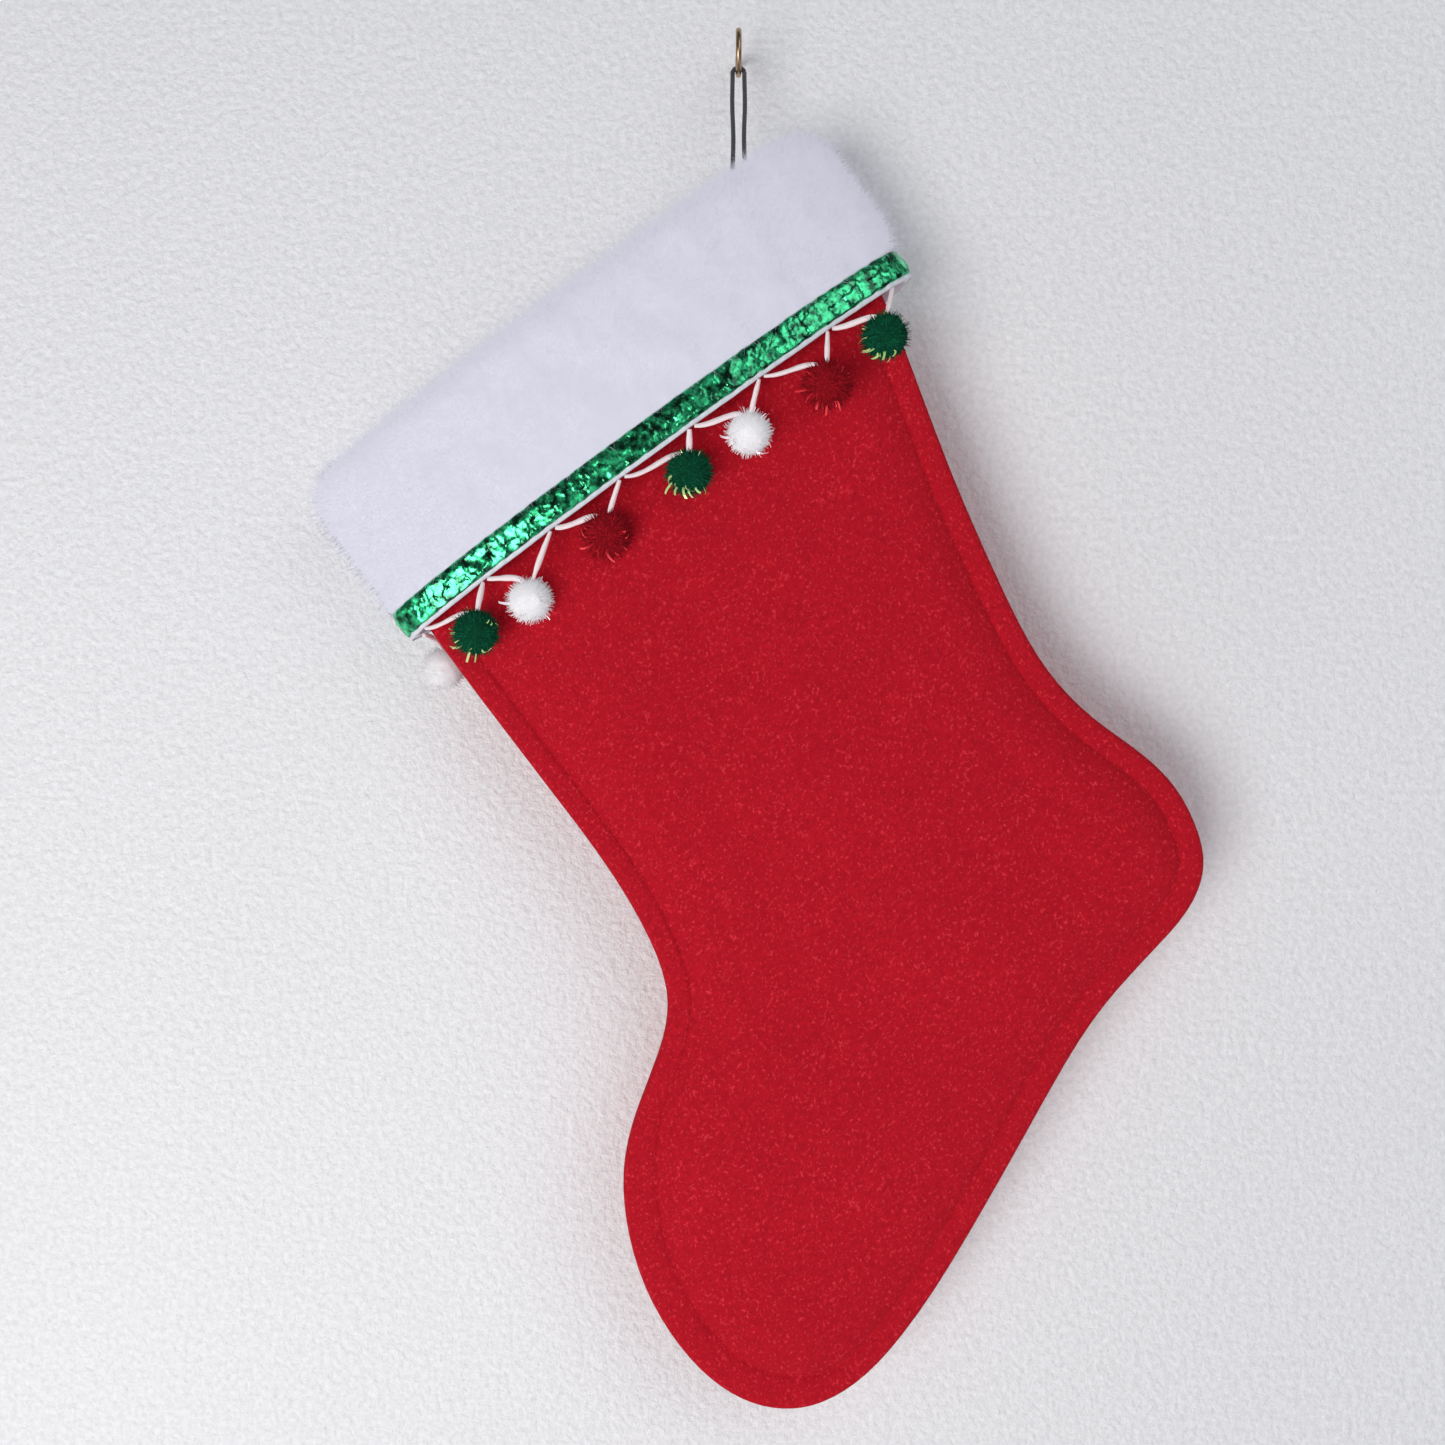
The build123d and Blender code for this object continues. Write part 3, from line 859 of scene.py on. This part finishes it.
def closed_strip(oval, distance, heights, out, thickness):
    """Points and faces of a strip of trim that goes all the way round.
    distance and heights have one value a grid point, and out is its outer face."""
    outer, inner = (
        np.stack([*oval.at(distance, level), heights], axis=-1) for level in (out, out - thickness)
    )
    rows, columns = distance.shape
    sheet = np.concatenate([outer, inner[::-1]])
    return sheet.reshape(-1, 3), grid(2 * rows, columns, close_rows=True, close_columns=True)[:, ::-1]


def ribbon(oval, look):
    """Crushed foil ribbon round the gathered band."""
    low, high = upright_box("ribbon_trim")
    width = high[2] - low[2]
    along, up = oval.spread(*RIBBON_GRID)
    flat = np.stack([along.ravel(), up.ravel() * width], axis=1)
    crease = crumple(flat, 4.8, 71) + 0.5 * crumple(flat, 2.3, 72)
    edge = np.minimum(up, 1 - up).ravel() * width
    pillow = 0.55 * np.sqrt(np.clip(edge / 2.2, 0, 1))
    out = TRIM_INSET + 0.15 + pillow + RIBBON_CRUMPLE * crease * np.clip(edge, 0.25, 1)
    heights = low[2] + up.ravel() * width + 0.08 * waves(flat * (1, 0), 4.5, 73)
    heights, out = heights.reshape(up.shape), out.reshape(up.shape)
    points, faces = closed_strip(oval, along, heights, out, RIBBON_THICK)
    piece = make_piece("ribbon_foil", to_row(points), faces, look)
    dress(piece, "stocking", "ribbon_trim")


def crumple(points, size, seed):
    """Sharp creases between flat facets: each spot takes the lowest of the planes near it."""
    draw = np.random.default_rng(seed)
    low, high = points.min(0) - size, points.max(0) + size
    count = int(np.prod((high - low) / size))
    centres = draw.uniform(low, high, (count, 2))
    tilts = draw.normal(size=(count, 2)) * 0.55 / size
    levels = draw.uniform(0, 0.35, count)
    tree = search_tree(centres)
    out = np.empty(len(points))
    for number, (x, z) in enumerate(points):
        out[number] = min(
            levels[index] + (points[number] - centres[index]) @ tilts[index] + 0.35 * gap / size
            for _, index, gap in tree.find_n((x, z, 0), 3)
        )
    return np.clip(out, 0.0, 1.2)


def tape(oval, look):
    """White satin tape under the ribbon, with small scallops between the fringe's yarns."""
    low, high = upright_box("fringe_tape")
    along, up = oval.spread(*TAPE_GRID)
    first, pitch = yarn_spacing(oval)
    scallop = 0.35 * np.abs(np.sin(math.pi * (along - first) / pitch)) ** 0.6
    flat = np.stack([along.ravel(), up.ravel() * 6], axis=1)
    ripple = (0.14 * waves(flat, 7, 81) + 0.06 * waves(flat, 2.5, 82)).reshape(up.shape)
    bulge = 0.35 * np.sqrt(np.clip(4 * up * (1 - up), 0, 1))
    heights = low[2] + up * (high[2] - low[2]) + (1 - up) * (TAPE_LIFT - scallop)
    points, faces = closed_strip(oval, along, heights, 0.35 + bulge + ripple, TAPE_THICK)
    piece = make_piece("fringe_tape_satin", to_row(points), faces, look)
    dress(piece, "stocking", "fringe_tape")


def yarn_ends(number):
    """The two ends of a pom-pom's yarn on the tape, in the row frame, the lower end first."""
    hinge = joint(f"pompom_{number:02d}_swing")
    middle = np.array(hinge["pos_m"]) / MM
    way = np.array(hinge["axis"])
    points = node_points(f"pompom_yarn_{number:02d}")
    height = to_upright(points)[:, 2]
    reach = (points[height > height.max() - 1.0] - middle) @ way
    tuck = AXES[2] * (CORNER_TUCK if number == CORNER_BALL else YARN_TUCK)
    ends = [middle + way * along + tuck for along in (reach.min() + 0.9, reach.max() - 0.9)]
    return sorted(ends, key=lambda end: end[2])


def yarn_spacing(oval):
    """Distance along the oval to the first junction of yarns, and from one junction to the next."""
    spots = []
    for number in (2, 4):
        middle = sum(to_upright(end) for end in yarn_ends(number)) / 2
        angle = math.atan2(-middle[1] / oval.half[1], (middle[0] - oval.shift) / oval.half[0])
        spots.append(np.interp(angle, oval.angle, oval.along))
    pitch = (spots[1] - spots[0]) / 2
    return spots[0] - pitch / 2, pitch


# ---- pom-poms


def facing(centre):
    """-1 for a ball in front of the felt and 1 for one behind it."""
    return -1.0 if centre[1] < ORIGIN[1] + FRONT_ROOM else 1.0


def yarn(number, centre, radius, look):
    """The V of soft cord a pom-pom hangs from: its lower end bows over, its upper end drops straight."""
    draw = np.random.default_rng(200 + number)
    low, high = yarn_ends(number)
    out = np.array([-0.6, 0.5, 0.0] if number == CORNER_BALL else [0.0, facing(centre), 0.0])
    lift = np.array([0, 0, 1.0])
    crown = centre + lift * (0.62 * radius)
    level = (crown - low) * (1, 1, 0)
    bowed = bezier((
        low,
        low + level * 0.42 - lift * 0.3 + out * 1.2,
        crown + lift * (0.30 * np.linalg.norm(level)) - level * 0.15 + out * 1.4,
        crown - lift * 1.5,
    ), 30)
    drop = bezier((
        high,
        high * 0.66 + crown * 0.34 + out * 0.6,
        high * 0.33 + crown * 0.67 + out * 0.8,
        crown - lift,
    ), 30)
    parts = []
    for path in (bowed, drop):
        t = np.linspace(0, 1, len(path))
        thick = YARN_RADIUS * (0.72 + 0.28 * np.sin(math.pi * np.clip(t * 1.25, 0, 1)) ** 0.7)
        thick = thick * (1 + 0.05 * waves(path, 5, 210 + number))
        parts.append(tube(path, thick, 12, YARN_FLAT, draw.uniform(0, 1) + 0.8 * t))
    piece = make_piece(f"yarn_loop_{number:02d}", *joined(parts), look)
    dress(piece, f"pompom_{number:02d}_hanging", f"pompom_yarn_{number:02d}")


def sphere_ways(count, draw):
    """Directions spread evenly over a sphere, with a little scatter."""
    number = np.arange(count) + 0.5
    height = 1 - 2 * number / count
    turn = math.pi * (1 + 5 ** 0.5) * number
    flat = np.sqrt(1 - height ** 2)
    ways = np.stack([flat * np.cos(turn), flat * np.sin(turn), height], axis=1)
    return unit(ways + draw.normal(size=ways.shape) * 0.05)


def core_ball(centre, radius, seed):
    """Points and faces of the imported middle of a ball, uneven like cut yarn."""
    rows, columns = 20, 36
    polar = np.linspace(0.06, math.pi - 0.06, rows)
    around = np.linspace(0, 2 * math.pi, columns, endpoint=False)
    polar, around = (part.ravel() for part in np.meshgrid(polar, around, indexing="ij"))
    flat = np.sin(polar)
    ways = np.stack([flat * np.cos(around), flat * np.sin(around), np.cos(polar)], axis=1)
    points = centre + ways * (radius * (1 + 0.05 * waves(ways * 10, 7, seed)))[:, None]
    poles = centre + np.array([(0, 0, radius), (0, 0, -radius)])
    return np.concatenate([points, poles]), closed_rings(rows, columns)[:, [0, 2, 1]]


def pompom(number, looks):
    """One ball of cut yarn with its tinsel, and the cord it hangs from."""
    colour = COLOUR_RUN[(RUN_START - number) % BALLS % 3]
    name = f"pompom_{number:02d}"
    draw = np.random.default_rng(100 + number)
    centre, half = row_box(name)
    radius = half.min()
    lean = -BALL_GLOW / 2 if number == CORNER_BALL else BALL_GLOW * facing(centre)
    count, scatter = FIBRES[colour]
    ways = sphere_ways(count, draw)
    fibre = unit(ways + draw.normal(size=ways.shape) * scatter)
    stray = draw.uniform(size=(count, 1)) > STRAY[colour]
    reach = radius * draw.uniform(0.96, 1.08, (count, 1)) + stray * draw.uniform(0.5, 2.4, (count, 1))
    reach = reach * FULLNESS[colour]
    roots = centre + ways * radius * ROOTS
    tips = roots + fibre * (reach - radius * ROOTS)
    widths, tones = draw.uniform(0.18, 0.36, count), draw.uniform(size=count)
    normals = unit(0.8 * ways + 0.2 * fibre + (0, lean, 0))
    fibres = needles(f"{name}_fibres", roots, tips, widths, looks[colour], normals, tones, blunt=0.55)
    fibres.visible_shadow = fibres.visible_diffuse = False
    points, faces = core_ball(centre, radius * CORE * FULLNESS[colour], 150 + number)
    core = make_piece(f"{name}_core", points, faces, looks[colour])
    set_tone(core, np.full(len(points), 0.45))
    film = tinsel(f"{name}_tinsel", colour, centre, radius, draw, looks["tinsel_" + colour])
    for piece, node in ((core, None), (fibres, name), (film, None)):
        dress(piece, f"{name}_hanging", node)
    yarn(number, centre, radius, looks["yarn"])


def tinsel(name, colour, centre, radius, draw, look):
    """Strips of bright film: a fan low on the ball's toe side, and short bits all round its rim."""
    front = facing(centre)
    fan, rim = TINSEL[colour]
    parts = []

    def add(way, side, length, width):
        """Adds a strip, with its length and width drawn from ranges."""
        size = draw.uniform(*length), draw.uniform(*width)
        parts.append(film_strip(centre + way * radius * 0.9, way, unit(side), size, draw))

    for turn in np.linspace(math.radians(195), math.radians(290), fan):
        turn = turn + draw.normal() * 0.09
        way = unit(np.array([math.cos(turn), front * draw.uniform(0.1, 0.6), math.sin(turn)]))
        add(way, np.cross(way, (0.0, 1.0, 0.0)) + 0.5 * draw.normal(size=3), (3.4, 5.4), (0.7, 1.0))
    for _ in range(rim):
        turn = draw.uniform(0, 2 * math.pi)
        way = unit(np.array([math.cos(turn), front * draw.uniform(-0.2, 0.9), math.sin(turn)]))
        add(way, np.cross(way, draw.normal(size=3)), (1.4, 3.0), (0.25, 0.45))
    return make_piece(name, *joined(parts), look, smooth=False)


def film_strip(start, way, side, size, draw):
    """A thin closed strip that leaves start along way and curls a little. size is length and width."""
    length, width = size
    curl = unit(way + 0.45 * draw.normal(size=3))
    steps = np.linspace(0, 1, 5)[:, None]
    path = start + (way * (1 - steps) + curl * steps) * length * steps
    side = unit(side - way * (side @ way))
    face = unit(np.cross(way, side)) * FILM_HALF_THICK
    half = side * width / 2
    corners = (-half - face, half - face, half + face, face - half)
    rings = np.stack([path + corner for corner in corners], axis=1)
    last = 4 * (len(path) - 1)
    caps = np.array([[0, 3, 2, 1], [last, last + 1, last + 2, last + 3]])
    return rings.reshape(-1, 3), np.concatenate([grid(len(path), 4, close_columns=True), caps])


# ---- hook, loop and knot


def twisted(path, radius, pitch, sides):
    """Three plies twisted into one cord along a path."""
    along = run_length(path)
    side, other = sideways(unit(np.gradient(path, axis=0)), (0.2, 1.0, 0.1))
    parts = []
    for ply in range(3):
        angle = 2 * math.pi * (along / pitch + ply / 3)
        offset = side * np.cos(angle)[:, None] + other * np.sin(angle)[:, None]
        parts.append(tube(path + offset * radius * 0.44, np.full(len(path), radius * 0.64), sides))
    return joined(parts)


def loop_cord(look):
    """Twisted cord over the hook, with its two strands running down beside the knot."""
    points = node_points("hanging_loop")
    trough, knot = (np.array(joint(name)["pos_m"]) / MM for name in ("loop_swing", "stocking_lift"))
    half = (points[:, 0].max() - points[:, 0].min()) / 2 - CORD_RADIUS
    length = np.linalg.norm(knot - trough)
    down = (knot - trough) / length
    right = np.array([1.0, 0, 0])
    straight = np.linspace(length, 0, 130)[:-1, None]
    bow = half + 0.25 * np.sin(straight / length * math.pi * 2.2) * np.sin(straight / length * math.pi)
    arc = np.linspace(0, math.pi, 30)[:, None]
    path = np.concatenate([
        trough + down * straight + right * bow,
        trough - down * (half * np.sin(arc)) + right * (half * np.cos(arc)),
        (trough + down * straight - right * bow)[::-1][1:],
    ])
    piece = make_piece("loop_cord", *twisted(path, CORD_RADIUS, 4.2, 8), look)
    dress(piece, "loop", "hanging_loop")


def knot_cord(look):
    """Overhand knot in the same cord, drawn tight."""
    centre, half = row_box("loop_knot")
    t = np.linspace(0, 2 * math.pi, 160)
    wide, high = np.sin(t) + 2 * np.sin(2 * t), np.cos(t) - 2 * np.cos(2 * t)
    curl = np.stack([-np.sin(3 * t), wide / 3, high / 3], axis=1)
    path = centre + curl * (half - KNOT_CORD * 1.25)
    piece = make_piece("knot_cord", *twisted(path, KNOT_CORD * 1.2, 3.0, 6), look)
    dress(piece, "knot", "loop_knot")


# ---- stage


def wall_look():
    """Off-white painted wall. It is see-through from behind and to shadow rays."""
    look = Look("wall_paint", Roughness=0.6)
    grain = look.noise(1.8, 3, 0.6)
    broad = look.noise(160, 2)
    speckle = look.ramp(look.noise(1.2, 2, 0.5), ((0.35, 0.0), (0.65, 1.0)))
    tint = look.mix(broad, (0.74, 0.74, 0.76), (0.80, 0.80, 0.82))
    colour = look.mix(speckle, look.mix(1.0, tint, (0.90, 0.90, 0.90), "MULTIPLY"), tint)
    look.done(Base_Color=colour, Normal=look.bump(grain, 1.5, 0.8))
    clear = look.node("BsdfTransparent")
    behind = look.node("NewGeometry").outputs["Backfacing"]
    shadow = look.node("LightPath").outputs["Is Shadow Ray"]
    either, both = look.node("Math", {"operation": "MAXIMUM"}), look.node("MixShader")
    look.wire(either, behind, shadow)
    look.wire(both, either.outputs[0], look.shader.outputs[0], clear.outputs[0])
    look.wire(look.tree.nodes["Material Output"], both.outputs[0])
    return look.material


def sheet(name, corners, look):
    """A flat four-sided piece."""
    return make_piece(name, np.array(corners), np.array([[0, 1, 2, 3]]), look)


def stage():
    """Wall behind the hook and a pale floor below the stocking."""
    ground = cad_box[0].z / MM - FLOOR_DROP
    wall = [(-2500, 0, ground), (2500, 0, ground), (2500, 0, 1200), (-2500, 0, 1200)]
    backdrop = sheet("wall", wall, wall_look())
    paint = Look("floor_paint", Roughness=0.8)
    colour = paint.mix(paint.noise(300, 2), (0.70, 0.70, 0.72), (0.76, 0.76, 0.78))
    floor = [(-3000, -3000, ground), (3000, -3000, ground), (3000, 3000, ground), (-3000, 3000, ground)]
    sheet("floor", floor, paint.done(Base_Color=colour))


def lights():
    """The soft boxes, each facing the stocking's middle, and the dim room round them."""
    middle = (cad_box[0] + cad_box[1]) / 2
    for name, (place, size, power, colour) in LIGHTS.items():
        data = bpy.data.lights.new(name, "AREA")
        data.shape = "RECTANGLE"
        data.size = data.size_y = size
        data.energy = power
        data.color = colour
        lamp = bpy.data.objects.new(name, data)
        lamp.location = place
        lamp.rotation_euler = (middle - Vector(place)).to_track_quat("-Z", "Y").to_euler()
        bpy.context.scene.collection.objects.link(lamp)
    world = bpy.data.worlds.new("studio")
    world.use_nodes = True
    nodes, links = world.node_tree.nodes, world.node_tree.links
    sky = nodes["Background"]
    sky.inputs["Color"].default_value = (0.86, 0.88, 0.93, 1)
    path = nodes.new("ShaderNodeLightPath")
    dim = nodes.new("ShaderNodeMapRange")
    dim.inputs["To Min"].default_value = WORLD
    dim.inputs["To Max"].default_value = WORLD_IN_METAL
    links.new(path.outputs["Is Glossy Ray"], dim.inputs["Value"])
    links.new(dim.outputs[0], sky.inputs["Strength"])
    bpy.context.scene.world = world
    bpy.context.scene.view_settings.view_transform = "Standard"


def camera():
    """Camera in front of the wall, level with the stocking's middle."""
    data = bpy.data.cameras.new("camera")
    data.sensor_width = SENSOR
    data.lens = SENSOR * VIEW_RANGE / (2 * VIEW_HALF)
    eye = bpy.data.objects.new("camera", data)
    eye.location = EYE
    eye.rotation_euler = (math.pi / 2, 0, 0)
    bpy.context.scene.collection.objects.link(eye)
    bpy.context.scene.camera = eye


def repaint(node, look):
    """Gives its material to a CAD node that shows as it is."""
    piece = frame["nodes"][node]
    piece.data.materials.clear()
    piece.data.materials.append(look)


# ---- the stocking


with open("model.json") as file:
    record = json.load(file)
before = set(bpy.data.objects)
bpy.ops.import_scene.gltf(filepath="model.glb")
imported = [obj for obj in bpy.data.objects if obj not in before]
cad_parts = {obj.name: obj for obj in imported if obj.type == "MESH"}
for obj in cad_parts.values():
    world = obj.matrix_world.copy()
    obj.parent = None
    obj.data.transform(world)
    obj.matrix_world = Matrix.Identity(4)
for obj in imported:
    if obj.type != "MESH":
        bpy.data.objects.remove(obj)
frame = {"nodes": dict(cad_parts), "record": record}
cad_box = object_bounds()
AXES = upright_axes()
cuff_points = node_points("cuff") @ AXES.T
ORIGIN = np.array([
    (cuff_points[:, 0].min() + cuff_points[:, 0].max()) / 2,
    (cuff_points[:, 1].min() + cuff_points[:, 1].max()) / 2,
    cuff_points[:, 2].max(),
]) @ AXES

boot = boot_plan()
felt, nap = felt_look(), fibre_look("red_felt_nap", 0.08, NAP_STOPS)
front = felt_panel("felt_front", "front_panel", -1, 11, boot, felt)
back = felt_panel("felt_back", "back_panel", 1, 21, boot, felt)
felt_nap("front_nap", front, boot[1], -1, 31, nap)
felt_nap("back_nap", back, boot[1], 1, 32, nap)

pile = fibre_look("white_pile", 0.2, tuple(zip((0.0, 1.0), PLUSH_TONES)))
cuff_pile(*cuff_base(plush_look()), pile)
oval = trim_oval()
ribbon(oval, foil_look())
tape(oval, tape_look())

looks = {"yarn": strand_look("white_yarn", YARN_TONES, 0.8, 0.4, (0.8, 4), (0.15, 0.5))}
for colour, tones in BALL_TONES.items():
    looks[colour] = fibre_look("pompom_" + colour, 0.1, tuple(zip((0.0, 0.6, 1.0), tones)))
for colour, tones in TINSEL_GLINT_TONES.items():
    looks["tinsel_" + colour] = tinsel_look("tinsel_" + colour, tones)
for ball in range(1, BALLS + 1):
    pompom(ball, looks)

cord = strand_look("loop_cord", CORD_TONES)
loop_cord(cord)
knot_cord(cord)
repaint("wall_hook", brass_look())
for node, (slot, tones) in THREADS.items():
    repaint(node, strand_look(slot, tones))

stage()
lights()
camera()
